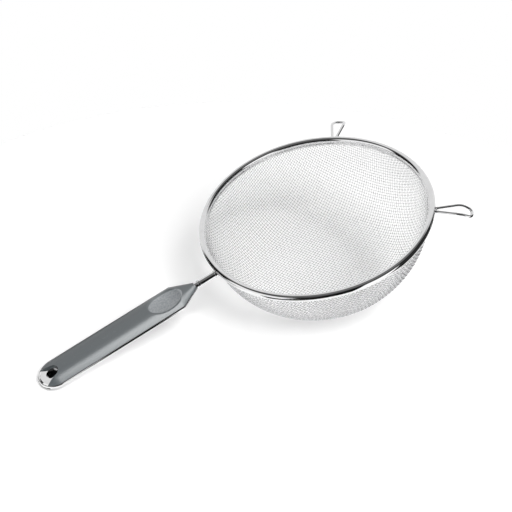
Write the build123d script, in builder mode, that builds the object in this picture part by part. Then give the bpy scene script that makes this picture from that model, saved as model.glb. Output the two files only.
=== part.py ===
from build123d import *
import os
from math import cos, hypot, radians, sin

os.makedirs("parts", exist_ok=True)

# Wide bowl sieve lying on a table, with the floor at z = 0 and the handle towards -X.
# Lengths are in millimetres and angles in degrees.
# The rim has its own plane, with x away from the handle and z up out of the bowl.
# The handle has its own plane, with x towards the tail.

# Rim
rim_bead_radius = 3.0
rim_circle_radius = 99.5
rim_sheet = 0.5
core_wire_radius = 1.5
inner_ring_thickness = 0.6
inner_ring_height = 1.9
inner_ring_top = 2.1
inner_ring_gap = 0.1

# Mesh bowl, whose profile leans in, then turns through a side arc, a corner arc and a shallow base
mesh_thickness = 0.8
mesh_seat_from_bead_centre = 1.1
wall_height = 8.4
wall_lean = 6.9
side_radius = 84.5
corner_radius = 22.0
corner_start_slope = 42.0
base_slope = 6.0
openings_across = 12
rib_width = 3.6

# Rest loops
loop_wire_radius = 1.35
loop_angle = 44.0
loop_root_half_gap = 1.65
loop_knee_half_gap = 5.9
loop_root_from_bead = 1.5
loop_leg_reach = 22.5
loop_nose_reach = 9.5
loop_nose_droop = 29.0
loop_nose_flat_share = 0.71
loop_knee_bend_radius = 12.0
loop_nose_bend_radius = 3.9

# Neck
neck_radius = 3.15
neck_drop = 2.6
tang_rod_radius = 2.1
collar_radius = 3.65
collar_length = 1.6
handle_collar_from_front = 4.0

# Handle
handle_front_from_rim = 19.5
handle_length = 146.5
handle_half_width = 15.0
handle_droop = 1.4
handle_plane_drop = 1.2
shell_depth = 8.0
shell_sheet = 1.0
front_half_width = 3.6
front_depth = 4.2
taper_length = 19.0
grip_crown = 3.5
front_crown = 1.6

# Tang blade inside the grip
blade_half_width = 4.0
blade_thickness = 2.0
blade_top_depth = 2.6
blade_start = 13.0
blade_end = 70.0

# Hanging hole with its metal saddle, and the thumb scoop
hanging_hole_radius = 4.2
hole_from_tail = 12.0
saddle_margin = 1.5
saddle_top = 0.8
saddle_end_half_width = 11.0
scoop_centre_from_front = 29.5
scoop_length = 36.0
scoop_width = 40.0
scoop_height = 12.0
scoop_depth = 2.9

# Places worked out along the bowl's outer profile
mesh_radius = rim_circle_radius - mesh_seat_from_bead_centre
side_start_slope = 90 - wall_lean
side_start = (mesh_radius - wall_height * sin(radians(wall_lean)) / cos(radians(wall_lean)), -wall_height)
side_centre = (
    side_start[0] - side_radius * sin(radians(side_start_slope)),
    side_start[1] + side_radius * cos(radians(side_start_slope)),
)
corner_share = side_radius - corner_radius
corner_centre = (
    side_centre[0] + corner_share * sin(radians(corner_start_slope)),
    side_centre[1] - corner_share * cos(radians(corner_start_slope)),
)
base_radius = corner_centre[0] / sin(radians(base_slope)) + corner_radius
bowl_bottom = corner_centre[1] + (base_radius - corner_radius) * cos(radians(base_slope)) - base_radius

# Handle line in the rim's own coordinates
handle_front_x = -(rim_circle_radius + rim_bead_radius + handle_front_from_rim)
tail_axis_along = handle_length - handle_half_width
tail_axis_x = handle_front_x - tail_axis_along * cos(radians(handle_droop))
tail_axis_z = -handle_plane_drop - tail_axis_along * sin(radians(handle_droop))


def bowl_reach(tilt):
    """How far the bowl reaches below the rim's centre at this tilt."""
    turned = radians(tilt)
    return corner_centre[0] * sin(turned) - corner_centre[1] * cos(turned) + corner_radius


def tail_reach(tilt):
    """How far the round tail reaches below the rim's centre at this tilt."""
    turned = radians(tilt)
    steep = radians(tilt + handle_droop)
    tail_round = hypot(handle_half_width * sin(steep), shell_depth * cos(steep))
    return -tail_axis_x * sin(turned) - tail_axis_z * cos(turned) + tail_round


def rest_tilt(low, high, steps):
    """Tilt at which the bowl and the tail touch the floor together."""
    for _ in range(steps):
        middle = (low + high) / 2
        if tail_reach(middle) < bowl_reach(middle):
            low = middle
        else:
            high = middle
    return (low + high) / 2


tilt = rest_tilt(low=0, high=45, steps=40)
rim_height = bowl_reach(tilt)

tilted_x = (cos(radians(tilt)), 0, sin(radians(tilt)))
tilted_z = (-sin(radians(tilt)), 0, cos(radians(tilt)))
rim = Plane(origin=(0, 0, rim_height), x_dir=tilted_x, z_dir=tilted_z)
rim_section = Plane(origin=rim.origin, x_dir=tilted_x, z_dir=(0, -1, 0))
rim_axis = Axis(rim.origin, rim.z_dir)

handle_turn = radians(tilt + handle_droop)
handle = Plane(
    origin=rim.from_local_coords(Vector(handle_front_x, 0, -handle_plane_drop)),
    x_dir=(-cos(handle_turn), 0, -sin(handle_turn)),
    z_dir=(-sin(handle_turn), 0, cos(handle_turn)),
)
neck_start = rim.from_local_coords(Vector(-rim_circle_radius, 0, -neck_drop))
neck_line = Plane(origin=neck_start, x_dir=(0, 1, 0), z_dir=-rim.x_dir)
neck_length = rim_bead_radius + handle_front_from_rim


def across_handle(along):
    """Plane square to the handle, with x across it and y up."""
    return Plane(origin=handle.from_local_coords(Vector(along, 0, 0)), x_dir=handle.y_dir, z_dir=handle.x_dir)


def half_oval(along, half_width, height):
    """Half ellipse across the handle, under or over its plane."""
    side = 1 if height > 0 else -1
    with BuildSketch(across_handle(along)) as oval:
        with BuildLine():
            EllipticalCenterArc((0, 0), half_width, abs(height), start_angle=0, arc_size=180 * side)
            Line((-half_width, 0), (half_width, 0))
        make_face()
    return oval.sketch


def handle_form(inset, height, front_height):
    """Half of the handle's outer form, above or below its plane, drawn in by the inset."""
    half_width = handle_half_width - inset
    with BuildPart() as form:
        front_oval = half_oval(inset, front_half_width - inset / 2, front_height)
        full_oval = half_oval(taper_length, half_width, height)
        loft([front_oval, full_oval])
        extrude(full_oval, amount=tail_axis_along - taper_length)
        with BuildSketch(across_handle(tail_axis_along)):
            with BuildLine():
                side = 90 if height > 0 else -90
                EllipticalCenterArc((0, 0), half_width, abs(height), start_angle=0, arc_size=side)
                Line((0, height), (0, 0))
                Line((0, 0), (half_width, 0))
            make_face()
        centre = handle.from_local_coords(Vector(tail_axis_along, 0, 0))
        revolve(axis=Axis(centre, -handle.z_dir), revolution_arc=180)
    return form.part


def ring_of_section(radius, height, section_radius):
    """Round ring in the rim's coordinates."""
    with BuildPart() as ring:
        with BuildSketch(rim_section):
            with Locations((radius, height)):
                Circle(section_radius)
        revolve(axis=rim_axis)
    return ring.part


def bowl_outline(shrink):
    """Closed section between the axis and the bowl's profile, drawn in by the mesh thickness."""
    edge = mesh_radius - shrink
    lean = radians(wall_lean)
    start_z = -wall_height + shrink * sin(lean)
    start_x = side_start[0] - shrink * cos(lean)
    side = side_radius - shrink
    corner = corner_radius - shrink
    corner_start = (
        side_centre[0] + side * sin(radians(corner_start_slope)),
        side_centre[1] - side * cos(radians(corner_start_slope)),
    )
    side_middle = radians((side_start_slope + corner_start_slope) / 2)
    corner_middle = radians((corner_start_slope + base_slope) / 2)
    corner_end = (
        corner_centre[0] + corner * sin(radians(base_slope)),
        corner_centre[1] - corner * cos(radians(base_slope)),
    )
    base_centre_z = bowl_bottom + base_radius
    base = base_radius - shrink
    base_middle = radians(base_slope / 2)
    on_side = (side_centre[0] + side * sin(side_middle), side_centre[1] - side * cos(side_middle))
    on_corner = (
        corner_centre[0] + corner * sin(corner_middle),
        corner_centre[1] - corner * cos(corner_middle),
    )
    on_base = (base * sin(base_middle), base_centre_z - base * cos(base_middle))
    with BuildSketch(rim_section) as outline:
        with BuildLine():
            Polyline((0, 0), (edge, 0), (start_x, start_z))
            ThreePointArc((start_x, start_z), on_side, corner_start)
            ThreePointArc(corner_start, on_corner, corner_end)
            ThreePointArc(corner_end, on_base, (0, bowl_bottom + shrink))
            Line((0, bowl_bottom + shrink), (0, 0))
        make_face()
    return outline.sketch


# Square openings through the bowl under its plain wall, with a rib on the handle's line
grid_pitch = (side_start[0] + rib_width / 2) / (openings_across / 2)
opening_width = grid_pitch - rib_width
opening_places = []
for cell in GridLocations(grid_pitch, grid_pitch, openings_across, openings_across):
    nearest_corner = (abs(cell.position.X) - opening_width / 2, abs(cell.position.Y) - opening_width / 2)
    if hypot(*nearest_corner) < side_start[0] - rib_width:
        opening_places.append(cell)
with BuildPart() as mesh_openings:
    with BuildSketch(rim.offset(-wall_height)):
        with Locations(*opening_places):
            Rectangle(opening_width, opening_width)
    extrude(amount=bowl_bottom)

# Mesh bowl, with its fine weave stood in for by a grid of ribs
with BuildPart() as mesh_bowl:
    revolve(bowl_outline(0), axis=rim_axis)
    revolve(bowl_outline(mesh_thickness), axis=rim_axis, mode=Mode.SUBTRACT)
    add(mesh_openings.part, mode=Mode.SUBTRACT)
mesh_bowl.part.label = "mesh_bowl"
export_step(mesh_bowl.part, "parts/mesh_bowl.step")

# Reinforcing wire inside the rolled rim, resting against the mesh edge
core_wire_circle = mesh_radius + core_wire_radius
rim_core_wire = ring_of_section(core_wire_circle, 0, core_wire_radius)
rim_core_wire.label = "rim_core_wire"
export_step(rim_core_wire, "parts/rim_core_wire.step")

# Rolled rim band, open below where the mesh enters
with BuildPart() as rim_band:
    with BuildSketch(rim_section):
        with Locations((rim_circle_radius, 0)):
            Circle(rim_bead_radius)
            Circle(rim_bead_radius - rim_sheet, mode=Mode.SUBTRACT)
    revolve(axis=rim_axis)
    with BuildSketch(rim_section):
        with BuildLine():
            Polyline(
                (mesh_radius - mesh_thickness, 0),
                (mesh_radius, 0),
                (mesh_radius, -rim_bead_radius),
                (mesh_radius - mesh_thickness - rim_sheet, -rim_bead_radius),
                close=True,
            )
        make_face()
    revolve(axis=rim_axis, mode=Mode.SUBTRACT)
rim_band.part.label = "rim_band"
export_step(rim_band.part, "parts/rim_band.step")

# Flat ring that clamps the mesh from inside, just under the bead
inner_face_top = (mesh_radius - mesh_thickness, 0)
inner_face_end = (
    side_start[0] - mesh_thickness * cos(radians(wall_lean)),
    side_start[1] + mesh_thickness * sin(radians(wall_lean)),
)
inner_face_slope = (inner_face_top[0] - inner_face_end[0]) / (inner_face_top[1] - inner_face_end[1])


def on_inner_face(depth):
    """Point just off the mesh's inner face at this depth under the bead's centre."""
    return (inner_face_top[0] - inner_ring_gap - inner_face_slope * depth, -depth)


ring_bottom = inner_ring_top + inner_ring_height
with BuildPart() as rim_inner_ring:
    with BuildSketch(rim_section):
        with BuildLine():
            top = on_inner_face(inner_ring_top)
            bottom = on_inner_face(ring_bottom)
            Polyline(
                top,
                bottom,
                (bottom[0] - inner_ring_thickness, bottom[1]),
                (top[0] - inner_ring_thickness, top[1]),
                close=True,
            )
        make_face()
    revolve(axis=rim_axis)
rim_inner_ring.part.label = "rim_inner_ring"
export_step(rim_inner_ring.part, "parts/rim_inner_ring.step")

# Whole bead as one round ring, which the welded pieces are fitted to
bead = ring_of_section(rim_circle_radius, 0, rim_bead_radius)


def rest_loop(angle):
    """Wire loop welded to the bead: two spreading legs and a nose bent down."""
    outward = Vector(1, 0, 0).rotate(Axis.Z, angle)
    root = rim_circle_radius + loop_root_from_bead
    knee = root + loop_leg_reach
    nose = knee + loop_nose_reach * cos(radians(loop_nose_droop))
    nose_z = -loop_nose_reach * sin(radians(loop_nose_droop))
    nose_half = loop_knee_half_gap * loop_nose_flat_share
    frame = Plane(
        origin=rim.origin,
        x_dir=rim.from_local_coords(outward) - rim.origin,
        z_dir=rim.z_dir,
    )
    one_leg = [(root, loop_root_half_gap, 0), (knee, loop_knee_half_gap, 0), (nose, nose_half, nose_z)]
    other_leg = [(x, -y, z) for x, y, z in reversed(one_leg)]
    corners = [frame.from_local_coords(Vector(*point)) for point in one_leg + other_leg]
    bends = [loop_knee_bend_radius, loop_nose_bend_radius, loop_nose_bend_radius, loop_knee_bend_radius]
    with BuildPart() as loop:
        with BuildLine() as route:
            FilletPolyline(*corners, radius=bends)
        with BuildSketch(Plane(origin=route.line @ 0, z_dir=route.line % 0)):
            Circle(loop_wire_radius)
        sweep(path=route.line)
        add(bead, mode=Mode.SUBTRACT)
    return loop.part


# Two rest loops, one on each side of the line opposite the handle
for side_name, angle in (("left", loop_angle), ("right", -loop_angle)):
    loop_part = rest_loop(angle)
    loop_part.label = f"rest_loop_{side_name}"
    export_step(loop_part, f"parts/rest_loop_{side_name}.step")

# Tang: a rod through the neck, welded to a flat blade inside the grip
with BuildPart() as tang:
    with BuildSketch(neck_line):
        Circle(tang_rod_radius)
    extrude(amount=neck_length + blade_start)
    add(bead, mode=Mode.SUBTRACT)
    with BuildSketch(handle.offset(-blade_top_depth - blade_thickness)):
        with Locations(((blade_start + blade_end) / 2, 0)):
            Rectangle(blade_end - blade_start, 2 * blade_half_width)
    extrude(amount=blade_thickness)
tang.part.label = "tang"
export_step(tang.part, "parts/tang.step")


def neck_sleeve(radius, start, length):
    """Round sleeve on the neck line, cut off at the handle's front and fitted to the bead."""
    with BuildPart() as sleeve:
        with BuildSketch(neck_line.offset(start)):
            Circle(radius)
        extrude(amount=length)
        add(bead, mode=Mode.SUBTRACT)
        split(bisect_by=across_handle(0), keep=Keep.BOTTOM)
    return sleeve.part


# Neck tube round the tang's rod
with BuildPart() as neck_tube:
    add(neck_sleeve(neck_radius, 0, neck_length + collar_length))
    add(tang.part, mode=Mode.SUBTRACT)
neck_tube.part.label = "neck_tube"
export_step(neck_tube.part, "parts/neck_tube.step")

# Collars at both ends of the neck, the first one sunk onto the bead
collar_starts = {
    "rim_collar": rim_bead_radius - collar_length / 2,
    "handle_collar": neck_length - handle_collar_from_front,
}
for collar_name, start in collar_starts.items():
    with BuildPart() as collar:
        add(neck_sleeve(collar_radius, start, 1.5 * collar_length))
        with BuildSketch(neck_line):
            Circle(neck_radius)
        extrude(amount=neck_length + collar_length, mode=Mode.SUBTRACT)
    collar.part.label = collar_name
    export_step(collar.part, f"parts/{collar_name}.step")

# Forms that the handle pieces share
shell_form = handle_form(0, -shell_depth, -front_depth)
pocket_form = handle_form(shell_sheet, shell_sheet - shell_depth, shell_sheet - front_depth)
crown_form = handle_form(shell_sheet, grip_crown, front_crown)
hole_along = handle_length - hole_from_tail


def saddle_prism(bottom, top):
    """Upright block round the hanging hole, wider towards the tail."""
    with BuildPart() as prism:
        with BuildSketch(handle.offset(bottom)):
            with Locations((hole_along, 0)):
                Circle(hanging_hole_radius + saddle_margin)
            with Locations((handle_length, 0)):
                Rectangle(shell_sheet, 2 * saddle_end_half_width)
            make_hull()
        extrude(amount=top - bottom)
    return prism.part


# Upright plug the size of the hanging hole, with its seam turned off the handle's middle
with BuildPart() as hanging_hole:
    with BuildSketch(handle.offset(-2 * shell_depth)):
        with Locations(Pos(hole_along, 0) * Rot(0, 0, 45)):
            Circle(hanging_hole_radius)
    extrude(amount=4 * shell_depth)

# Polished handle shell with the saddle round its hanging hole
with BuildPart() as saddle_crown:
    add(crown_form)
    add(saddle_prism(0, saddle_top), mode=Mode.INTERSECT)
with BuildPart() as pocket:
    add(pocket_form)
    add(saddle_prism(-shell_depth, saddle_top), mode=Mode.SUBTRACT)
with BuildPart() as handle_shell:
    add(shell_form)
    add(pocket.part, mode=Mode.SUBTRACT)
    add(saddle_crown.part)
    add(hanging_hole.part, mode=Mode.SUBTRACT)
    add(tang.part, mode=Mode.SUBTRACT)
handle_shell.part.label = "handle_shell"
export_step(handle_shell.part, "parts/handle_shell.step")

# Thumb scoop as an oval hollow pressed into the crown
with BuildPart() as scoop:
    Sphere(scoop_length / 2)
    scale(by=(1, scoop_width / scoop_length, scoop_height / scoop_length))
scoop_centre_height = grip_crown - scoop_depth + scoop_height / 2
scoop_place = handle.location * Pos(scoop_centre_from_front, 0, scoop_centre_height)

# Grip insert with the scoop, the notch at the tail and the tang's slot
with BuildPart() as grip_insert:
    add(pocket_form)
    add(crown_form)
    add(saddle_prism(-2 * shell_depth, 2 * shell_depth), mode=Mode.SUBTRACT)
    add(scoop_place * scoop.part, mode=Mode.SUBTRACT)
    add(tang.part, mode=Mode.SUBTRACT)
grip_insert.part.label = "grip_insert"
export_step(grip_insert.part, "parts/grip_insert.step")

print("tilt", round(tilt, 3), "rim height", round(rim_height, 3), "base", round(bowl_bottom, 2))
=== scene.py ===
from math import cos, pi, radians, sin, tan

import bmesh
import bpy
import numpy as np
from mathutils import Matrix, Vector

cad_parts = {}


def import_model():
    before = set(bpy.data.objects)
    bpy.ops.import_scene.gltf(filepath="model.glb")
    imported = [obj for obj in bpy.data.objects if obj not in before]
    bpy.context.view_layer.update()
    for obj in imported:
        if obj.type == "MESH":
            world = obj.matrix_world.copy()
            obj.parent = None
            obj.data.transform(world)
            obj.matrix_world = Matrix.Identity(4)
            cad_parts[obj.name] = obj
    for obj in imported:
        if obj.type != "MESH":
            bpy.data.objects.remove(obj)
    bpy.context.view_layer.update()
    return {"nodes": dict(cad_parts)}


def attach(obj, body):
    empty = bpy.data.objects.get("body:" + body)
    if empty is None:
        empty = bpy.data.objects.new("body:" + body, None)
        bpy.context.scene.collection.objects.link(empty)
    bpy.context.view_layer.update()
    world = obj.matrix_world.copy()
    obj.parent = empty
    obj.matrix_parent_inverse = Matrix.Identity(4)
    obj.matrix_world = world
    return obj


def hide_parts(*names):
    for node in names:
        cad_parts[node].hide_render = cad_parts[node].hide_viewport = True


# Wide mesh strainer lying on a white table, with its handle towards -X.
# Lengths are in metres and angles in degrees. The rim, the neck and the handle
# have frames of their own, which the rest tilt places in the shared one.

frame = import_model()
BODY = "strainer"

# Rest position
REST_TILT = 15.238
RIM_HEIGHT = 0.079663
HANDLE_DROOP = 1.4

# Rim
RIM_STEPS = 360
BEAD_CIRCLE = 0.0995
BEAD_RADIUS = 0.003
BEAD_SIDES = 40
INNER_RING_TOP = 0.0021
INNER_RING_HEIGHT = 0.0019
INNER_RING_THICKNESS = 0.0006
INNER_RING_GAP = 0.0001
INNER_RING_EDGE_POINTS = 7

# Bowl profile
MESH_RADIUS = 0.0984
MESH_THICKNESS = 0.0008
WALL_HEIGHT = 0.0084
WALL_LEAN = 6.9
SIDE_RADIUS = 0.0845
CORNER_RADIUS = 0.022
CORNER_START_SLOPE = 42.0
BASE_SLOPE = 6.0

# Wire cloth
WIRE_PITCH = 0.0026
WIRE_DIAMETER = 0.00034
WEAVE_ANGLE = 21.0
WIRE_SIDES = 6
WIRE_STEPS = 4
CLOTH_PIECES = 3

# Rest loops, whose wire swells where it meets the bead
LOOP_WIRE_RADIUS = 0.00135
LOOP_ANGLE = 44.0
LOOP_ROOT_FROM_BEAD = 0.0015
LOOP_ROOT_HALF_GAP = 0.00165
LOOP_KNEE_HALF_GAP = 0.0059
LOOP_LEG_REACH = 0.0225
LOOP_NOSE_REACH = 0.0095
LOOP_NOSE_DROOP = 29.0
LOOP_NOSE_FLAT_SHARE = 0.71
LOOP_KNEE_BEND = 0.012
LOOP_NOSE_BEND = 0.0039
LOOP_FOOT_SWELL = 0.45
LOOP_FOOT_REACH = 0.0006
LOOP_STEP = 0.0004
LOOP_SIDES = 20
LEAST_BEND_STEPS = 4

# Neck
NECK_RADIUS = 0.00315
NECK_DROP = 0.0026
NECK_LENGTH = 0.0225
NECK_ROOT = 0.0015
NECK_STEPS = 64
COLLAR_RADIUS = 0.00365
COLLAR_LENGTH = 0.0016
COLLAR_SLEEVE = 1.5 * COLLAR_LENGTH
COLLAR_ROUNDING = 0.0003
COLLAR_ROUNDING_POINTS = 6
COLLAR_SINK = 0.0001
HANDLE_COLLAR_FROM_FRONT = 0.004

# Handle shell
HANDLE_FRONT_X = -0.122
HANDLE_PLANE_DROP = 0.0012
HANDLE_LENGTH = 0.1465
HALF_WIDTH = 0.015
SHELL_DEPTH = 0.008
SHELL_SHEET = 0.001
FRONT_SHEET = 0.6 * SHELL_SHEET
FRONT_HALF_WIDTH = 0.0036
FRONT_DEPTH = 0.0042
TAPER_LENGTH = 0.019
KEEL_POINTS = 25
LIP_GAP = 0.0001
LIP_HEIGHT_TO_WIDTH = 2
LIP_POINTS = 9
WALL_TOP_TO_LIP = 1.2
TROUGH_FLOOR = 0.0006
OUTLINE_STEP = 0.0005
TAIL_STEPS = 72

# Grip, the ellipsoid that presses in its thumb scoop, and the oval of the scoop's paler grain
GRIP_CROWN = 0.0035
FRONT_CROWN = 0.0016
CROWN_EXPONENT = 3.0
GRIP_GAP = 0.00012
GRIP_UNDERSIDE = 0.0005
CROWN_POINTS = 60
SCOOP_CENTRE = 0.0295
SCOOP_LENGTH = 0.036
SCOOP_WIDTH = 0.040
SCOOP_HEIGHT = 0.012
SCOOP_DEPTH = 0.0029
SCOOP_REACH = 0.0153
SCOOP_HALF_WIDTH = 0.0098

# Hanging hole and the saddle round it
HOLE_RADIUS = 0.0042
HOLE_FROM_TAIL = 0.012
HOLE_FLARE = 0.0007
HOLE_FLARE_POINTS = 8
HOLE_STEPS = 96
HOLE_PLUG_TOP = 0.01
SADDLE_MARGIN = 0.0015
SADDLE_TOP = 0.0008
SADDLE_BOTTOM = -0.004
SADDLE_END_HALF_WIDTH = 0.011
SADDLE_PAST_TAIL = 0.003
SADDLE_ARC_POINTS = 40
NOTCH_GAP = 0.00008
CUTTER_REACH = 0.02

# Distances at which points are joined, and angles from which an edge is sharp
FINE_MERGE = 1e-7
CARVED_MERGE = 1e-6
HANDLE_MERGE = 2e-6
SHARP_ANGLE = 35
CARVED_SHARP_ANGLE = 30

# Steel and grip: size and detail of the grain, its dark and light shade, and its roughness
POLISHED_GRAIN = (160, 4)
POLISHED_SHADES = ((0.82, 0.82, 0.825), (0.88, 0.88, 0.885))
POLISHED_ROUGHNESS = (0.04, 0.07)
WIRE_GRAIN = (900, 3)
WIRE_SHADES = ((0.72, 0.72, 0.73), (0.86, 0.86, 0.87))
WIRE_ROUGHNESS = (0.16, 0.26)
GRIP_GRAIN = (2600, 3)
GRIP_SHADES = ((0.080, 0.092, 0.098), (0.090, 0.103, 0.110))
GRIP_ROUGHNESS = (0.30, 0.36)
GRIP_SPECULAR = 0.9
GRIP_BUMP_STRENGTH = 0.12
GRIP_BUMP_HEIGHT = 0.00005
SCOOP_GRAIN = (700, 5)
SCOOP_SHADES = ((0.20, 0.215, 0.225), (0.30, 0.315, 0.33))
SCOOP_EDGE = 0.94
SHADE_STOPS = (0.3, 0.7)
SCOOP_SHADE_STOPS = (0.35, 0.65)

# Camera
CAMERA_PLACE = (-0.39711, -0.51616, 0.50448)
CAMERA_AZIMUTH = -33.249
CAMERA_ELEVATION = 36.108
CAMERA_ROLL = 1.927
CAMERA_LENS = 63.281
CAMERA_SENSOR = 36.0
CAMERA_NEAR = 0.01

# Table
TABLE_CENTRE_X = -0.06
TABLE_RADIUS = 0.40
TABLE_SIDES = 96
TABLE_WHITE = 0.9
TABLE_LIFT = 0.17
MATT_ROUGHNESS = 0.9

# Room: its soft light, its backdrop, and what the steel mirrors of it. Each card is given
# by its azimuth, from +X towards +Y, and its brightness.
SOFT_LIGHT = 0.16
BACKDROP = 1.0
CEILING = 0.17
LOW_CARDS = [
    (-180, 1.0), (-158, 1.0), (-154, 0.01), (-125, 0.01), (-100, 0.05),
    (-92, 1.25), (-64, 1.25), (-60, 0.03), (-4, 0.03), (6, 0.85),
    (116, 0.8), (121, 0.01), (148, 0.01), (153, 1.0), (180, 1.0),
]
MIDDLE_CARDS = [
    (-180, 0.08), (-122, 0.06), (-112, 0.06), (-98, 0.03), (-66, 0.03), (-60, 0.02),
    (-6, 0.02), (6, 0.8), (108, 0.8), (122, 0.2), (134, 0.06), (180, 0.08),
]
MIDDLE_CARD_ELEVATIONS = (25, 35)
CEILING_ELEVATIONS = (55, 65)

# Lights
MAIN_LIGHT_PLACE = (-0.05, -3.0, 4.0)
MAIN_LIGHT_TARGET = (-0.05, 0, 0.04)
MAIN_LIGHT_SIZE = (2.8, 2.8)
MAIN_LIGHT_POWER = 298.0
GRIP_LIGHT_PLACE = (0.02, -0.62, 2.92)
GRIP_LIGHT_TARGET = (-0.2, 0, 0.03)
GRIP_LIGHT_SIZE = (2.0, 3.4)
GRIP_LIGHT_POWER = 150.0

# Black cards: one stands before the handle, the others lie on the table
CARD_BLACK = 0.01
CARD_HEIGHT = 0.0003
FRONT_CARD_PLACE = (-0.13, -0.25)
FRONT_CARD_SIZE = (0.18, 0.23)
# The card under the hanging hole is painted shade, seen only in what the hole's walls mirror
HOLE_SHADE_CARD_HALVES = (0.011, 0.011)
LEFT_CARD_PLACE = (-0.21, -0.18)
LEFT_CARD_HALVES = (0.09, 0.12)
RIGHT_CARD_PLACE = (0.22, -0.24)
RIGHT_CARD_HALVES = (0.12, 0.12)
BACK_CARD_PLACE = (-0.215, 0.155)
BACK_CARD_HALVES = (0.085, 0.105)

# Frames of the rim, the handle and the neck
RIM = Matrix.Translation((0, 0, RIM_HEIGHT)) @ Matrix.Rotation(-radians(REST_TILT), 4, "Y")
HANDLE = (
    RIM
    @ Matrix.Translation((HANDLE_FRONT_X, 0, -HANDLE_PLANE_DROP))
    @ Matrix.Rotation(-radians(HANDLE_DROOP), 4, "Y")
    @ Matrix.Rotation(pi, 4, "Z")
)
NECK = (
    RIM
    @ Matrix.Translation((-BEAD_CIRCLE, 0, -NECK_DROP))
    @ Matrix.Rotation(-pi / 2, 4, "Y")
)
TAIL_AXIS = HANDLE_LENGTH - HALF_WIDTH
HOLE_ALONG = HANDLE_LENGTH - HOLE_FROM_TAIL


# Mesh helpers

def turned(points, place):
    """Points moved from a local frame into the shared one."""
    matrix = np.array(place)
    return np.asarray(points, float) @ matrix[:3, :3].T + matrix[:3, 3]


def mesh_object(name, points, quads, extra_faces=()):
    """Object from an array of points, an array of quads and a few larger faces."""
    mesh = bpy.data.meshes.new(name)
    quads = np.asarray(quads, np.int32).reshape(-1, 4)
    sizes = [4] * len(quads) + [len(face) for face in extra_faces]
    larger = [np.asarray(face, np.int32) for face in extra_faces]
    corners = np.concatenate([quads.ravel()] + larger)
    starts = np.concatenate([[0], np.cumsum(sizes)[:-1]]).astype(np.int32)
    mesh.vertices.add(len(points))
    mesh.vertices.foreach_set("co", np.asarray(points, np.float32).ravel())
    mesh.loops.add(len(corners))
    mesh.loops.foreach_set("vertex_index", corners.astype(np.int32))
    mesh.polygons.add(len(sizes))
    mesh.polygons.foreach_set("loop_start", starts)
    mesh.update(calc_edges=True)
    mesh.validate()
    made = bpy.data.objects.new(name, mesh)
    bpy.context.scene.collection.objects.link(made)
    return made


def grid_quads(rows, columns, wrap_rows, wrap_columns):
    """Quads between neighbours of a rows x columns grid of points."""
    row = np.arange(rows if wrap_rows else rows - 1)
    column = np.arange(columns if wrap_columns else columns - 1)
    row, column = np.meshgrid(row, column, indexing="ij")
    next_row = (row + 1) % rows
    next_column = (column + 1) % columns
    return np.stack(
        [
            row * columns + column,
            next_row * columns + column,
            next_row * columns + next_column,
            row * columns + next_column,
        ],
        axis=-1,
    ).reshape(-1, 4)


def shade_smooth(made):
    """Smooth shading on every face."""
    made.data.polygons.foreach_set("use_smooth", [True] * len(made.data.polygons))


def clean(made, merge=FINE_MERGE, sharp_angle=SHARP_ANGLE):
    """Joined seams, outward normals and smooth shading up to an angle."""
    work = bmesh.new()
    work.from_mesh(made.data)
    bmesh.ops.remove_doubles(work, verts=work.verts, dist=merge)
    bmesh.ops.recalc_face_normals(work, faces=work.faces)
    work.to_mesh(made.data)
    work.free()
    shade_smooth(made)
    made.data.set_sharp_from_angle(angle=radians(sharp_angle))
    return made


def revolved(name, profile, place, steps, closed=True):
    """Profile of (radius, height) points turned about the place's Z axis."""
    profile = np.asarray(profile, float)
    angles = np.arange(steps) * 2 * pi / steps
    rows = np.stack(
        [
            np.outer(np.cos(angles), profile[:, 0]),
            np.outer(np.sin(angles), profile[:, 0]),
            np.broadcast_to(profile[:, 1], (steps, len(profile))),
        ],
        axis=-1,
    )
    quads = grid_quads(steps, len(profile), True, closed)
    return clean(mesh_object(name, turned(rows.reshape(-1, 3), place), quads))


def unit(vectors):
    """Vectors brought to length one."""
    return vectors / np.linalg.norm(vectors, axis=1)[:, None]


def circles(angles, first, second):
    """Unit circle in the plane of two directions, for each point of a path."""
    cosines = np.cos(angles)[None, :, None]
    sines = np.sin(angles)[None, :, None]
    return cosines * first[:, None] + sines * second[:, None]


def swept(name, path, radii, sides, place):
    """Round tube along a path of points, with a radius for each of them and closed ends."""
    path = np.asarray(path, float)
    tangents = unit(np.gradient(path, axis=0))
    across = unit(np.cross(tangents, (0, 0, 1.0)))
    upward = np.cross(across, tangents)
    rings = circles(np.arange(sides) * 2 * pi / sides, across, upward)
    points = (path[:, None] + rings * np.asarray(radii)[:, None, None]).reshape(-1, 3)
    ends = [list(range(sides)), list(range(len(points) - sides, len(points)))]
    quads = grid_quads(len(path), sides, False, True)
    return clean(mesh_object(name, turned(points, place), quads, ends))


def rounded_path(corners, bends, step):
    """Points along straight runs whose inner corners are rounded to the given radii."""
    corners = [np.asarray(corner, float) for corner in corners]
    points = [corners[0]]
    for before, corner, after, bend in zip(corners, corners[1:], corners[2:], bends):
        back = (before - corner) / np.linalg.norm(before - corner)
        ahead = (after - corner) / np.linalg.norm(after - corner)
        half = np.arccos(np.clip(back @ ahead, -1, 1)) / 2
        reach = bend / tan(half)
        middle = (back + ahead) / np.linalg.norm(back + ahead)
        centre = corner + middle * bend / sin(half)
        to_start = corner + back * reach - centre
        to_end = corner + ahead * reach - centre
        from_centre = to_start / bend
        sideways = to_end / bend - from_centre * (to_start @ to_end) / bend**2
        sideways /= np.linalg.norm(sideways)
        sweep = pi - 2 * half
        count = max(LEAST_BEND_STEPS, int(sweep * bend / step))
        for turn in np.linspace(0, sweep, count + 1):
            points.append(centre + bend * (from_centre * cos(turn) + sideways * sin(turn)))
    points.append(corners[-1])
    dense = [points[0]]
    for point in points[1:]:
        previous = dense[-1]
        count = max(1, int(np.linalg.norm(point - previous) / step))
        for share in range(1, count + 1):
            dense.append(previous + (point - previous) * share / count)
    return np.array(dense)


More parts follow.
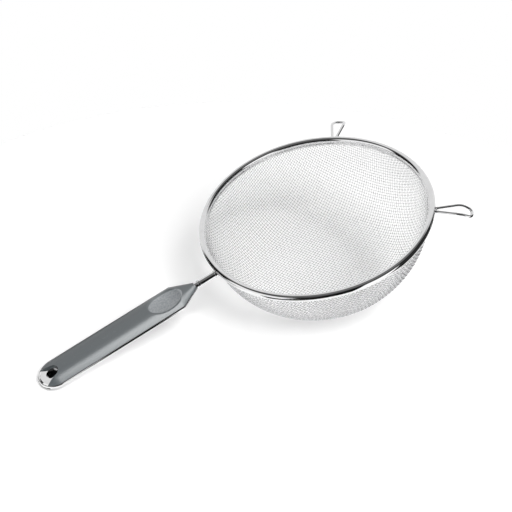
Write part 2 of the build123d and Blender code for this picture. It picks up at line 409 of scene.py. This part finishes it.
def arc(centre, radius, start, end, count):
    """Points of a flat arc from one angle to another."""
    return [
        (centre[0] + radius * cos(turn), centre[1] + radius * sin(turn))
        for turn in np.linspace(start, end, count)
    ]


def carved(made, cutter, operation):
    """Boolean of two closed meshes, kept as the first one's mesh."""
    modifier = made.modifiers.new("carve", "BOOLEAN")
    modifier.operation = operation
    modifier.solver = "EXACT"
    modifier.object = cutter
    view = bpy.context.evaluated_depsgraph_get()
    result = bpy.data.meshes.new_from_object(made.evaluated_get(view))
    made.modifiers.clear()
    made.data = result


def drop(*cutters):
    """Cutters taken out of the scene once they have done their work."""
    for cutter in cutters:
        bpy.data.objects.remove(cutter)


def placed(piece, material, node):
    """The piece rides on the strainer, wears the material and stands for the node."""
    piece.data.materials.clear()
    piece.data.materials.append(material)
    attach(piece, BODY)
    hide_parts(node)


# Shader helpers

def new_material(name):
    """Material with its nodes, its links and its main shader."""
    material = bpy.data.materials.new(name)
    material.use_nodes = True
    nodes = material.node_tree.nodes
    return material, nodes, material.node_tree.links, nodes["Principled BSDF"]


def matt_material(name, brightness):
    """Grey material without any gloss."""
    material, nodes, links, shader = new_material(name)
    shader.inputs["Base Color"].default_value = (brightness, brightness, brightness, 1)
    shader.inputs["Roughness"].default_value = MATT_ROUGHNESS
    shader.inputs["Specular IOR Level"].default_value = 0
    return material, nodes, links, shader


def grain(nodes, links, scale, detail):
    """Noise that stays with the object."""
    coordinates = nodes.new("ShaderNodeTexCoord")
    texture = nodes.new("ShaderNodeTexNoise")
    texture.inputs["Scale"].default_value = scale
    texture.inputs["Detail"].default_value = detail
    links.new(coordinates.outputs["Object"], texture.inputs["Vector"])
    return texture.outputs["Fac"]


def ranged(nodes, links, source, start, end, low=0, high=1, smooth=False):
    """Value that goes from low to high while the source goes from start to end."""
    spread = nodes.new("ShaderNodeMapRange")
    spread.interpolation_type = "SMOOTHSTEP" if smooth else "LINEAR"
    spread.inputs["From Min"].default_value = start
    spread.inputs["From Max"].default_value = end
    spread.inputs["To Min"].default_value = low
    spread.inputs["To Max"].default_value = high
    links.new(source, spread.inputs["Value"])
    return spread.outputs["Result"]


def shaded(nodes, links, source, shades, stops):
    """Colour that goes from the dark to the light shade between two stops."""
    ramp = nodes.new("ShaderNodeValToRGB")
    for index in range(2):
        element = ramp.color_ramp.elements[index]
        element.position = stops[index]
        element.color = (*shades[index], 1)
    links.new(source, ramp.inputs["Fac"])
    return ramp.outputs["Color"]


def mixed(nodes, links, factor, first, second):
    """First colour where the factor is zero and the second where it is one."""
    mix = nodes.new("ShaderNodeMix")
    mix.data_type = "RGBA"
    links.new(factor, mix.inputs["Factor"])
    links.new(first, mix.inputs["A"])
    if isinstance(second, float):
        mix.inputs["B"].default_value = (second, second, second, 1)
    else:
        links.new(second, mix.inputs["B"])
    return mix.outputs["Result"]


# Materials

def steel(name, grain_size, shades, roughness):
    """Steel whose shade and roughness follow one grain."""
    material, nodes, links, shader = new_material(name)
    shader.inputs["Metallic"].default_value = 1
    texture = grain(nodes, links, *grain_size)
    links.new(shaded(nodes, links, texture, shades, SHADE_STOPS), shader.inputs["Base Color"])
    links.new(ranged(nodes, links, texture, 0, 1, *roughness), shader.inputs["Roughness"])
    return material


def in_scoop(nodes, links):
    """One inside the thumb scoop and zero outside it."""
    coordinates = nodes.new("ShaderNodeTexCoord")
    offset = nodes.new("ShaderNodeVectorMath")
    offset.operation = "SUBTRACT"
    offset.inputs[1].default_value = HANDLE @ Vector((SCOOP_CENTRE, 0, 0))
    links.new(coordinates.outputs["Object"], offset.inputs[0])
    stretched = nodes.new("ShaderNodeVectorMath")
    stretched.operation = "MULTIPLY"
    stretched.inputs[1].default_value = (1 / SCOOP_REACH, 1 / SCOOP_HALF_WIDTH, 0)
    links.new(offset.outputs[0], stretched.inputs[0])
    distance = nodes.new("ShaderNodeVectorMath")
    distance.operation = "LENGTH"
    links.new(stretched.outputs[0], distance.inputs[0])
    return ranged(nodes, links, distance.outputs["Value"], 1, SCOOP_EDGE, smooth=True)


def grey_grip():
    """Satin grey grip whose thumb scoop has a paler, mottled grain."""
    material, nodes, links, shader = new_material("grey_grip")
    texture = grain(nodes, links, *GRIP_GRAIN)
    plain = shaded(nodes, links, texture, GRIP_SHADES, SHADE_STOPS)
    mottle = grain(nodes, links, *SCOOP_GRAIN)
    pale = shaded(nodes, links, mottle, SCOOP_SHADES, SCOOP_SHADE_STOPS)
    colour = mixed(nodes, links, in_scoop(nodes, links), plain, pale)
    roughness = ranged(nodes, links, texture, 0, 1, *GRIP_ROUGHNESS)
    links.new(colour, shader.inputs["Base Color"])
    links.new(roughness, shader.inputs["Roughness"])
    shader.inputs["Specular IOR Level"].default_value = GRIP_SPECULAR
    bump = nodes.new("ShaderNodeBump")
    bump.inputs["Strength"].default_value = GRIP_BUMP_STRENGTH
    bump.inputs["Distance"].default_value = GRIP_BUMP_HEIGHT
    links.new(texture, bump.inputs["Height"])
    links.new(bump.outputs["Normal"], shader.inputs["Normal"])
    return material


STEEL = steel("polished_steel", POLISHED_GRAIN, POLISHED_SHADES, POLISHED_ROUGHNESS)
WIRE = steel("mesh_steel", WIRE_GRAIN, WIRE_SHADES, WIRE_ROUGHNESS)
GRIP = grey_grip()


# Rim

def rim_bead():
    """Rolled bead of the rim, as a round ring."""
    angles = np.arange(BEAD_SIDES) * 2 * pi / BEAD_SIDES
    profile = [(BEAD_CIRCLE + BEAD_RADIUS * cos(a), BEAD_RADIUS * sin(a)) for a in angles]
    bead = revolved("rim_bead", profile, RIM, RIM_STEPS)
    placed(bead, STEEL, "rim_band")


def ring_outer(depth):
    """Radius of the clamping ring's outer face at this depth under the bead's centre."""
    return MESH_RADIUS - MESH_THICKNESS - INNER_RING_GAP - depth * tan(radians(WALL_LEAN))


def inner_ring():
    """Clamping ring that follows the bowl's wall and has round edges."""
    half = INNER_RING_THICKNESS / 2
    low = INNER_RING_TOP + INNER_RING_HEIGHT - half
    high = INNER_RING_TOP + half
    profile = []
    for depth, start in ((low, pi), (high, 0)):
        centre = (ring_outer(depth) - half, -depth)
        profile += arc(centre, half, start, start + pi, INNER_RING_EDGE_POINTS)
    ring = revolved("rim_inner_ring_band", profile, RIM, RIM_STEPS)
    placed(ring, STEEL, "rim_inner_ring")


# Wire cloth of the bowl

def bowl_profile():
    """Arcs of the bowl's middle surface, each with its start length, centre, radius and first
    slope, then the length and the slope at which the straight wall starts."""
    half = MESH_THICKNESS / 2
    wall_slope = radians(90 - WALL_LEAN)
    corner_slope = radians(CORNER_START_SLOPE)
    base_slope = radians(BASE_SLOPE)
    side_x = MESH_RADIUS - WALL_HEIGHT * tan(radians(WALL_LEAN))
    side_centre = (
        side_x - SIDE_RADIUS * sin(wall_slope),
        -WALL_HEIGHT + SIDE_RADIUS * cos(wall_slope),
    )
    between = SIDE_RADIUS - CORNER_RADIUS
    corner_centre = (
        side_centre[0] + between * sin(corner_slope),
        side_centre[1] - between * cos(corner_slope),
    )
    base_radius = corner_centre[0] / sin(base_slope) + CORNER_RADIUS
    base_centre = (0, corner_centre[1] + (base_radius - CORNER_RADIUS) * cos(base_slope))
    arcs = []
    length = 0
    for centre, radius, low, high in (
        (base_centre, base_radius - half, 0, base_slope),
        (corner_centre, CORNER_RADIUS - half, base_slope, corner_slope),
        (side_centre, SIDE_RADIUS - half, corner_slope, wall_slope),
    ):
        arcs.append((length, centre, radius, low))
        length += radius * (high - low)
    return arcs, length, wall_slope


ARCS, WALL_START, WALL_SLOPE = bowl_profile()
CLOTH_RADIUS = WALL_START + WALL_HEIGHT / sin(WALL_SLOPE)


def on_bowl(along, across):
    """Points and outward normals on the bowl for flat cloth coordinates."""
    length = np.hypot(along, across)
    turn = np.arctan2(across, along) + radians(WEAVE_ANGLE)
    radius = np.zeros_like(length)
    height = np.zeros_like(length)
    slope = np.zeros_like(length)
    for start, centre, bend, low in ARCS:
        here = length >= start
        angle = low + (length - start) / bend
        radius = np.where(here, centre[0] + bend * np.sin(angle), radius)
        height = np.where(here, centre[1] - bend * np.cos(angle), height)
        slope = np.where(here, angle, slope)
    _, centre, bend, _ = ARCS[-1]
    edge = (centre[0] + bend * sin(WALL_SLOPE), centre[1] - bend * cos(WALL_SLOPE))
    beyond = length - WALL_START
    on_wall = beyond > 0
    radius = np.where(on_wall, edge[0] + beyond * cos(WALL_SLOPE), radius)
    height = np.where(on_wall, edge[1] + beyond * sin(WALL_SLOPE), height)
    slope = np.where(on_wall, WALL_SLOPE, slope)
    points = np.stack([radius * np.cos(turn), radius * np.sin(turn), height], axis=-1)
    outward = np.sin(slope)
    normals = np.stack(
        [outward * np.cos(turn), outward * np.sin(turn), -np.cos(slope)], axis=-1
    )
    return points, normals


def wire(line, family):
    """Ring points of one wire, which passes over and under the other family, or None
    where it would be too short."""
    offset = (line + 0.5) * WIRE_PITCH
    half_length = np.sqrt(max(CLOTH_RADIUS**2 - offset**2, 0))
    steps = int(half_length / WIRE_PITCH * WIRE_STEPS)
    if steps < WIRE_STEPS:
        return None
    along = np.arange(-steps, steps + 1) * WIRE_PITCH / WIRE_STEPS
    along[0] = -half_length
    along[-1] = half_length
    fixed = np.full_like(along, offset)
    points, normals = on_bowl(along, fixed) if family == 0 else on_bowl(fixed, along)
    side = 1 if (line + family) % 2 == 0 else -1
    wave = side * np.sin(pi * along / WIRE_PITCH) * WIRE_DIAMETER / 2
    points = points + normals * wave[:, None]
    tangents = unit(np.gradient(points, axis=0))
    sideways = unit(np.cross(tangents, normals))
    upright = np.cross(sideways, tangents)
    angles = (np.arange(WIRE_SIDES) + 0.5) * 2 * pi / WIRE_SIDES
    return points[:, None] + circles(angles, sideways, upright) * WIRE_DIAMETER / 2


def wire_cloth():
    """Both families of wires, each in a few pieces."""
    lines = int(CLOTH_RADIUS / WIRE_PITCH)
    numbers = np.arange(-lines, lines)
    for family in range(2):
        for part, share in enumerate(np.array_split(numbers, CLOTH_PIECES)):
            points = []
            quads = []
            count = 0
            for line in share:
                rings = wire(line, family)
                if rings is None:
                    continue
                quads.append(grid_quads(len(rings), WIRE_SIDES, False, True) + count)
                points.append(rings.reshape(-1, 3))
                count += len(points[-1])
            points = turned(np.concatenate(points), RIM)
            cloth = mesh_object(f"wire_cloth_{family}_{part}", points, np.concatenate(quads))
            shade_smooth(cloth)
            placed(cloth, WIRE, "mesh_bowl")


# Rest loops

def rest_loop(side, angle):
    """Bent wire loop on the rim, at an angle from +X."""
    root = BEAD_CIRCLE + LOOP_ROOT_FROM_BEAD
    knee = root + LOOP_LEG_REACH
    nose = knee + LOOP_NOSE_REACH * cos(radians(LOOP_NOSE_DROOP))
    nose_z = -LOOP_NOSE_REACH * sin(radians(LOOP_NOSE_DROOP))
    nose_half = LOOP_KNEE_HALF_GAP * LOOP_NOSE_FLAT_SHARE
    leg = [
        (root, LOOP_ROOT_HALF_GAP, 0),
        (knee, LOOP_KNEE_HALF_GAP, 0),
        (nose, nose_half, nose_z),
    ]
    corners = leg + [(x, -y, z) for x, y, z in reversed(leg)]
    bends = [LOOP_KNEE_BEND, LOOP_NOSE_BEND, LOOP_NOSE_BEND, LOOP_KNEE_BEND]
    path = rounded_path(corners, bends, LOOP_STEP)
    from_bead = np.hypot(path[:, 0] - BEAD_CIRCLE, path[:, 2]) - BEAD_RADIUS
    near_bead = np.exp(-np.clip(from_bead, 0, None) / LOOP_FOOT_REACH)
    radii = LOOP_WIRE_RADIUS * (1 + LOOP_FOOT_SWELL * near_bead)
    place = RIM @ Matrix.Rotation(radians(angle), 4, "Z")
    loop = swept(f"rest_loop_wire_{side}", path, radii, LOOP_SIDES, place)
    placed(loop, STEEL, f"rest_loop_{side}")


# Neck

def collar(name, start, node):
    """Collar round the neck, with its outer edges rounded over."""
    end = start + COLLAR_SLEEVE
    inner = NECK_RADIUS - COLLAR_SINK
    radius = COLLAR_RADIUS - COLLAR_ROUNDING
    lower = (radius, start + COLLAR_ROUNDING)
    upper = (radius, end - COLLAR_ROUNDING)
    profile = [(inner, start), (radius, start)]
    profile += arc(lower, COLLAR_ROUNDING, -pi / 2, 0, COLLAR_ROUNDING_POINTS)
    profile += arc(upper, COLLAR_ROUNDING, 0, pi / 2, COLLAR_ROUNDING_POINTS)
    profile.append((inner, end))
    placed(revolved(name, profile, NECK, NECK_STEPS), STEEL, node)


def neck_pieces():
    """Neck tube with a collar at each end."""
    end = NECK_LENGTH + COLLAR_LENGTH
    profile = [(0, NECK_ROOT), (NECK_RADIUS, NECK_ROOT), (NECK_RADIUS, end), (0, end)]
    tube = revolved("neck_tube_skin", profile, NECK, NECK_STEPS, closed=False)
    placed(tube, STEEL, "neck_tube")
    collar("rim_collar_ring", BEAD_RADIUS - COLLAR_LENGTH / 2, "rim_collar")
    collar("handle_collar_ring", NECK_LENGTH - HANDLE_COLLAR_FROM_FRONT, "handle_collar")


# Handle

def stations(first):
    """Places along the handle's outline: centre on its middle line and outward direction."""
    count = int((TAIL_AXIS - first) / OUTLINE_STEP)
    forward = np.linspace(first, TAIL_AXIS, count + 1)
    turn = np.linspace(0, pi, TAIL_STEPS + 1)[1:-1]
    centres = np.concatenate([forward, np.full(len(turn), TAIL_AXIS), forward[::-1]])
    out_x = np.concatenate([np.zeros(count + 1), np.sin(turn), np.zeros(count + 1)])
    out_y = np.concatenate([np.ones(count + 1), np.cos(turn), -np.ones(count + 1)])
    return zip(centres, out_x, out_y)


def tapered(along, front, full):
    """Size that grows from the handle's front to the end of its taper."""
    share = np.clip(along / TAPER_LENGTH, 0, 1)
    return front + (full - front) * share


def shell_section(centre):
    """Half section of the polished shell, from the keel over the lip to the middle under
    the grip."""
    width = tapered(centre, FRONT_HALF_WIDTH, HALF_WIDTH)
    depth = tapered(centre, FRONT_DEPTH, SHELL_DEPTH)
    sheet = tapered(centre, FRONT_SHEET, SHELL_SHEET)
    turn = np.linspace(0, pi / 2, KEEL_POINTS)
    radii = list(width * np.sin(turn))
    heights = list(-depth * np.cos(turn))
    lip_width = sheet - LIP_GAP
    lip_height = LIP_HEIGHT_TO_WIDTH * lip_width
    radii[-1] = width
    heights[-1] = -lip_height
    heights[-2] = min(heights[-2], -WALL_TOP_TO_LIP * lip_height)
    for turn in np.linspace(0, pi / 2, LIP_POINTS)[1:]:
        radii.append(width - lip_width + lip_width * cos(turn))
        heights.append(-lip_height + lip_height * sin(turn))
    radii += [width - sheet, 0]
    heights += [-TROUGH_FLOOR, -TROUGH_FLOOR]
    return np.array(radii), np.array(heights)


def grip_section(centre):
    """Half section of the grip, from the middle of its underside to the crown."""
    front = FRONT_HALF_WIDTH - SHELL_SHEET / 2
    width = tapered(centre, front, HALF_WIDTH - SHELL_SHEET) - GRIP_GAP
    crown = tapered(centre, FRONT_CROWN, GRIP_CROWN)
    share = np.linspace(1, 0, CROWN_POINTS)
    radii = np.concatenate([[0, width], width * share])
    underside = [-GRIP_UNDERSIDE, -GRIP_UNDERSIDE]
    heights = np.concatenate([underside, crown * (1 - share**CROWN_EXPONENT)])
    return radii, heights


def scooped(points):
    """Grip points in the handle's frame with the oval thumb scoop pressed in."""
    along = (points[:, 0] - SCOOP_CENTRE) / (SCOOP_LENGTH / 2)
    across = points[:, 1] / (SCOOP_WIDTH / 2)
    inside = 1 - along**2 - across**2
    centre = GRIP_CROWN - SCOOP_DEPTH + SCOOP_HEIGHT / 2
    bottom = centre - SCOOP_HEIGHT / 2 * np.sqrt(np.clip(inside, 0, None))
    pressed = (inside > 0) & (points[:, 2] > bottom)
    lowered = np.where(pressed, bottom, points[:, 2])
    return np.stack([points[:, 0], points[:, 1], lowered], axis=-1)


def handle_body(name, first, section, scoop=False):
    """Closed body with a half section at each station, cut off flat at its front."""
    rows = []
    for centre, x, y in stations(first):
        radii, heights = section(centre)
        rows.append(np.stack([centre + x * radii, y * radii, heights], axis=-1))
    rows = np.array(rows)
    count, width = rows.shape[:2]
    points = rows.reshape(-1, 3)
    if scoop:
        points = scooped(points)
    last_row = (count - 1) * width
    front = list(range(width)) + [last_row + column for column in range(width - 2, 0, -1)]
    quads = grid_quads(count, width, False, True)
    return clean(mesh_object(name, turned(points, HANDLE), quads, [front]), HANDLE_MERGE)


def saddle_prism(name, bottom, top, grow):
    """Upright block round the hanging hole, wider towards the tail."""
    radius = HOLE_RADIUS + SADDLE_MARGIN + grow
    end_x = HANDLE_LENGTH + SADDLE_PAST_TAIL
    end_y = SADDLE_END_HALF_WIDTH + grow
    lean = np.arctan2(end_y - radius, end_x - HOLE_ALONG)
    middle = (HOLE_ALONG, 0)
    outline = arc(middle, radius, pi / 2 + lean, 3 * pi / 2 - lean, SADDLE_ARC_POINTS)
    outline += [(end_x, -end_y), (end_x, end_y)]
    points = [(x, y, bottom) for x, y in outline] + [(x, y, top) for x, y in outline]
    count = len(outline)
    quads = [(i, (i + 1) % count, (i + 1) % count + count, i + count) for i in range(count)]
    caps = [list(range(count))[::-1], list(range(count, 2 * count))]
    return clean(mesh_object(name, turned(points, HANDLE), quads, caps))


def hole_plug(name):
    """Round plug for the hanging hole, flared at the top."""
    flared = HOLE_RADIUS + HOLE_FLARE
    flare_start = SADDLE_TOP - HOLE_FLARE
    profile = [(0, -CUTTER_REACH), (HOLE_RADIUS, -CUTTER_REACH), (HOLE_RADIUS, flare_start)]
    for turn in np.linspace(0, pi / 2, HOLE_FLARE_POINTS)[1:]:
        profile.append((flared - HOLE_FLARE * cos(turn), flare_start + HOLE_FLARE * sin(turn)))
    profile += [(flared, HOLE_PLUG_TOP), (0, HOLE_PLUG_TOP)]
    place = HANDLE @ Matrix.Translation((HOLE_ALONG, 0, 0))
    return revolved(name, profile, place, HOLE_STEPS, closed=False)


def handle_pieces():
    """Shell, its saddle round the hanging hole, and the grip with a notch for the saddle."""
    shell = handle_body("handle_shell_skin", 0, shell_section)
    grip = handle_body("grip_skin", SHELL_SHEET, grip_section, scoop=True)
    saddle = handle_body("saddle_skin", SHELL_SHEET, grip_section)
    notch = saddle_prism("notch_cutter", -CUTTER_REACH, CUTTER_REACH, NOTCH_GAP)
    block = saddle_prism("saddle_block", SADDLE_BOTTOM, SADDLE_TOP, 0)
    plug = hole_plug("hole_cutter")
    carved(grip, notch, "DIFFERENCE")
    carved(saddle, block, "INTERSECT")
    carved(saddle, plug, "DIFFERENCE")
    carved(shell, plug, "DIFFERENCE")
    drop(notch, block, plug)
    for piece in (grip, saddle, shell):
        clean(piece, CARVED_MERGE, CARVED_SHARP_ANGLE)
    placed(shell, STEEL, "handle_shell")
    placed(saddle, STEEL, "handle_shell")
    placed(grip, GRIP, "grip_insert")
    return grip


# Studio

def floor():
    """White table, a little lighter to the camera and in mirrors than its light makes it."""
    angles = np.arange(TABLE_SIDES) * 2 * pi / TABLE_SIDES
    points = [
        (TABLE_CENTRE_X + TABLE_RADIUS * cos(a), TABLE_RADIUS * sin(a), 0) for a in angles
    ]
    table = mesh_object("table", points, [], [list(range(TABLE_SIDES))])
    material, nodes, links, shader = matt_material("white_table", TABLE_WHITE)
    shader.inputs["Emission Color"].default_value = (1, 1, 1, 1)
    rays = nodes.new("ShaderNodeLightPath")
    seen = nodes.new("ShaderNodeMath")
    seen.operation = "MAXIMUM"
    lift = nodes.new("ShaderNodeMath")
    lift.operation = "MULTIPLY"
    lift.inputs[1].default_value = TABLE_LIFT
    links.new(rays.outputs["Is Camera Ray"], seen.inputs[0])
    links.new(rays.outputs["Is Glossy Ray"], seen.inputs[1])
    links.new(seen.outputs[0], lift.inputs[0])
    links.new(lift.outputs[0], shader.inputs["Emission Strength"])
    table.data.materials.append(material)


def dark_cards():
    """Black cards that are seen only in what the steel and the grip mirror."""
    x, y = FRONT_CARD_PLACE
    left = x - FRONT_CARD_SIZE[0] / 2
    right = x + FRONT_CARD_SIZE[0] / 2
    top = FRONT_CARD_SIZE[1]
    standing = [(left, y, 0), (right, y, 0), (right, y, top), (left, y, top)]
    cards = [("dark_card_front", standing)]
    # The card under the hanging hole is painted shade: a black sheet that the hole's walls
    # mirror in place of the table's shade under the tail
    under_hole = HANDLE @ Vector((HOLE_ALONG, 0, 0))
    for name, (x, y), (half_x, half_y) in (
        ("hole_shade_card", under_hole.xy, HOLE_SHADE_CARD_HALVES),
        ("dark_card_left", LEFT_CARD_PLACE, LEFT_CARD_HALVES),
        ("dark_card_right", RIGHT_CARD_PLACE, RIGHT_CARD_HALVES),
        ("dark_card_back", BACK_CARD_PLACE, BACK_CARD_HALVES),
    ):
        lying = [
            (x + side_x * half_x, y + side_y * half_y, CARD_HEIGHT)
            for side_x, side_y in ((-1, -1), (1, -1), (1, 1), (-1, 1))
        ]
        cards.append((name, lying))
    material = matt_material("black_card", CARD_BLACK)[0]
    for name, corners in cards:
        card = mesh_object(name, corners, [(0, 1, 2, 3)])
        card.data.materials.append(material)
        card.visible_camera = False
        card.visible_diffuse = False
        card.visible_shadow = False


def round_horizon(nodes, links, azimuth, stops):
    """Brightness by azimuth, from (degrees, value) stops."""
    ramp = nodes.new("ShaderNodeValToRGB")
    elements = ramp.color_ramp.elements
    elements[0].position = 0
    elements[1].position = 1
    for degrees, _ in stops[1:-1]:
        elements.new((degrees + 180) / 360)
    in_order = sorted(elements, key=lambda element: element.position)
    for element, (_, value) in zip(in_order, stops):
        element.color = (value, value, value, 1)
    links.new(ranged(nodes, links, azimuth, -pi, pi), ramp.inputs["Fac"])
    return ramp.outputs["Color"]


def above(nodes, links, height, elevations, lower, upper):
    """Lower colour that gives way to the upper one between two elevations."""
    low, high = (sin(radians(elevation)) for elevation in elevations)
    factor = ranged(nodes, links, height, low, high, smooth=True)
    return mixed(nodes, links, factor, lower, upper)


def world():
    """Soft even light and a white backdrop. Mirrors see bright and dark cards round the
    horizon instead, and a dim ceiling over them."""
    room = bpy.data.worlds.new("studio")
    bpy.context.scene.world = room
    room.use_nodes = True
    nodes = room.node_tree.nodes
    links = room.node_tree.links
    nodes.clear()
    coordinates = nodes.new("ShaderNodeTexCoord")
    split = nodes.new("ShaderNodeSeparateXYZ")
    links.new(coordinates.outputs["Generated"], split.inputs[0])
    azimuth = nodes.new("ShaderNodeMath")
    azimuth.operation = "ARCTAN2"
    links.new(split.outputs["Y"], azimuth.inputs[0])
    links.new(split.outputs["X"], azimuth.inputs[1])
    height = split.outputs["Z"]
    low = round_horizon(nodes, links, azimuth.outputs[0], LOW_CARDS)
    middle = round_horizon(nodes, links, azimuth.outputs[0], MIDDLE_CARDS)
    cards = above(nodes, links, height, MIDDLE_CARD_ELEVATIONS, low, middle)
    cards = above(nodes, links, height, CEILING_ELEVATIONS, cards, CEILING)
    soft = nodes.new("ShaderNodeBackground")
    soft.inputs["Color"].default_value = (SOFT_LIGHT, SOFT_LIGHT, SOFT_LIGHT, 1)
    backdrop = nodes.new("ShaderNodeBackground")
    backdrop.inputs["Color"].default_value = (BACKDROP, BACKDROP, BACKDROP, 1)
    mirrored = nodes.new("ShaderNodeBackground")
    links.new(cards, mirrored.inputs["Color"])
    rays = nodes.new("ShaderNodeLightPath")
    pick_glossy = nodes.new("ShaderNodeMixShader")
    pick_camera = nodes.new("ShaderNodeMixShader")
    output = nodes.new("ShaderNodeOutputWorld")
    links.new(rays.outputs["Is Glossy Ray"], pick_glossy.inputs[0])
    links.new(soft.outputs[0], pick_glossy.inputs[1])
    links.new(mirrored.outputs[0], pick_glossy.inputs[2])
    links.new(rays.outputs["Is Camera Ray"], pick_camera.inputs[0])
    links.new(pick_glossy.outputs[0], pick_camera.inputs[1])
    links.new(backdrop.outputs[0], pick_camera.inputs[2])
    links.new(pick_camera.outputs[0], output.inputs[0])


def softbox(name, place, target, size, power):
    """Area light at a place, turned to its target."""
    light = bpy.data.lights.new(name, "AREA")
    light.shape = "RECTANGLE"
    light.size = size[0]
    light.size_y = size[1]
    light.energy = power
    lamp = bpy.data.objects.new(name, light)
    lamp.location = place
    direction = Vector(target) - Vector(place)
    lamp.rotation_euler = direction.to_track_quat("-Z", "Y").to_euler()
    bpy.context.scene.collection.objects.link(lamp)
    return lamp


def lights(grip):
    """Main light that nothing mirrors, and a light that is only seen mirrored in the grip."""
    main = softbox(
        "main_light", MAIN_LIGHT_PLACE, MAIN_LIGHT_TARGET, MAIN_LIGHT_SIZE, MAIN_LIGHT_POWER
    )
    main.visible_glossy = False
    sheen = softbox(
        "grip_light", GRIP_LIGHT_PLACE, GRIP_LIGHT_TARGET, GRIP_LIGHT_SIZE, GRIP_LIGHT_POWER
    )
    sheen.visible_diffuse = False
    receivers = bpy.data.collections.new("grip_light_receivers")
    receivers.objects.link(grip)
    sheen.light_linking.receiver_collection = receivers


def camera():
    """Camera turned by its azimuth, elevation and roll."""
    azimuth = radians(CAMERA_AZIMUTH)
    elevation = radians(CAMERA_ELEVATION)
    roll = radians(CAMERA_ROLL)
    flat = cos(elevation)
    back = Vector((sin(azimuth) * flat, -cos(azimuth) * flat, sin(elevation)))
    level = Vector((cos(azimuth), sin(azimuth), 0))
    right = cos(roll) * level + sin(roll) * back.cross(level)
    up = back.cross(right)
    turn = Matrix((right, up, back)).transposed().to_4x4()
    data = bpy.data.cameras.new("camera")
    data.lens = CAMERA_LENS
    data.sensor_width = CAMERA_SENSOR
    data.clip_start = CAMERA_NEAR
    viewer = bpy.data.objects.new("camera", data)
    viewer.matrix_world = Matrix.Translation(CAMERA_PLACE) @ turn
    bpy.context.scene.collection.objects.link(viewer)
    bpy.context.scene.camera = viewer


rim_bead()
inner_ring()
wire_cloth()
rest_loop("left", LOOP_ANGLE)
rest_loop("right", -LOOP_ANGLE)
neck_pieces()
grip_skin = handle_pieces()

# The core wire and the tang lie hidden inside and stay the solids that they are
for hidden_node in ("rim_core_wire", "tang"):
    carried = frame["nodes"][hidden_node]
    carried.data.materials.clear()
    carried.data.materials.append(STEEL)

floor()
dark_cards()
world()
lights(grip_skin)
camera()
bpy.context.scene.view_settings.view_transform = "Standard"
